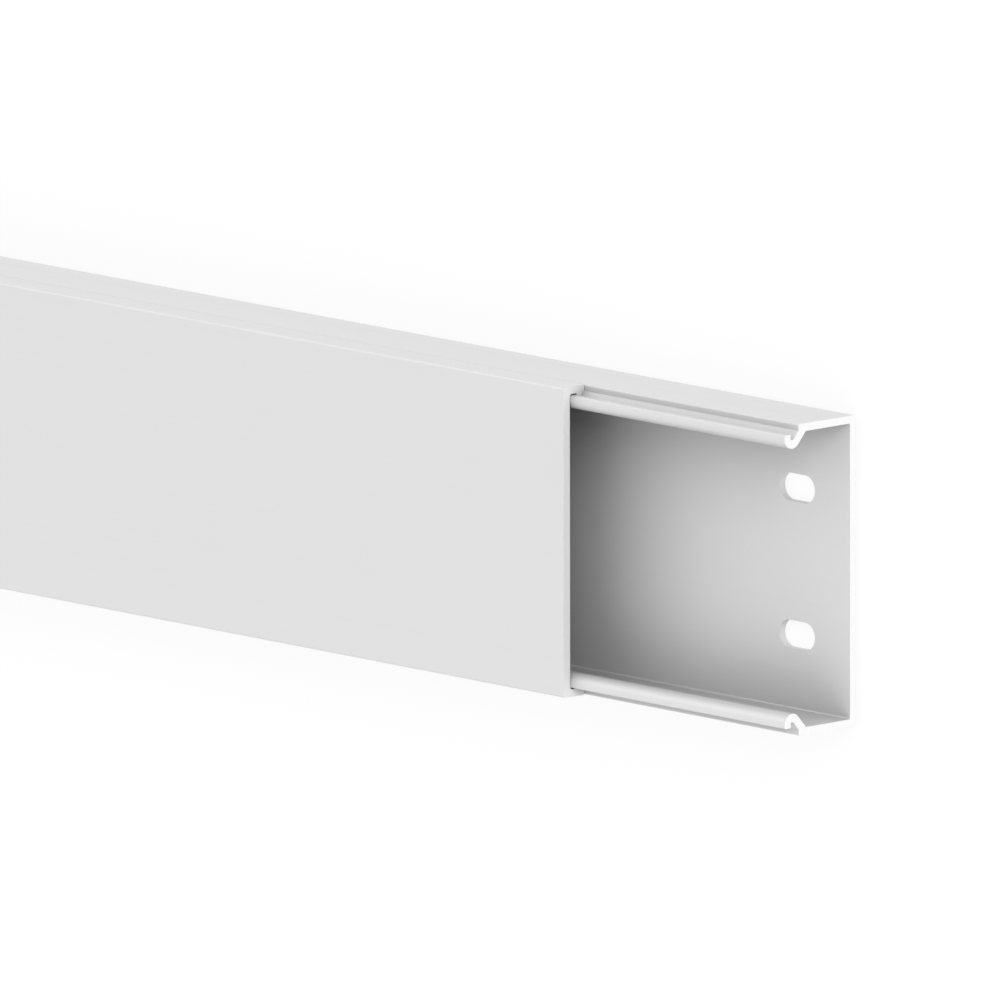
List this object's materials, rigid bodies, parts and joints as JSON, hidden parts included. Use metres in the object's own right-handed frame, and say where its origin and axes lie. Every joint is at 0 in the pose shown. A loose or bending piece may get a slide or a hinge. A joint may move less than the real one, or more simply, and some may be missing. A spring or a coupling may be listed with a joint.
{
  "type": "cable trunking",
  "caption": "Straight length of white PVC cable trunking: a slotted base channel with hooked lips and a flat clip-on cover that is drawn back at one end.",
  "frame": {"origin": "middle of the base channel's back face, half-way along its length", "axes": "+X along the length towards the end where the base shows, +Y across the base, +Z from the back face out through the cover; it lies on its back face"},
  "size_m": [2.0593, 0.06, 0.0203],
  "materials": {
    "white_pvc": "extruded, satin, with saw-cut ends"
  },
  "bodies": {
    "base": {"base_channel": "white_pvc"},
    "cover": {"cover": "white_pvc"}
  },
  "joints": [
    {"name": "cover_slide", "type": "slide", "parent": "base", "child": "cover", "axis": [1, 0, 0], "range_m": [-1.88, 0.0593]}
  ]
}
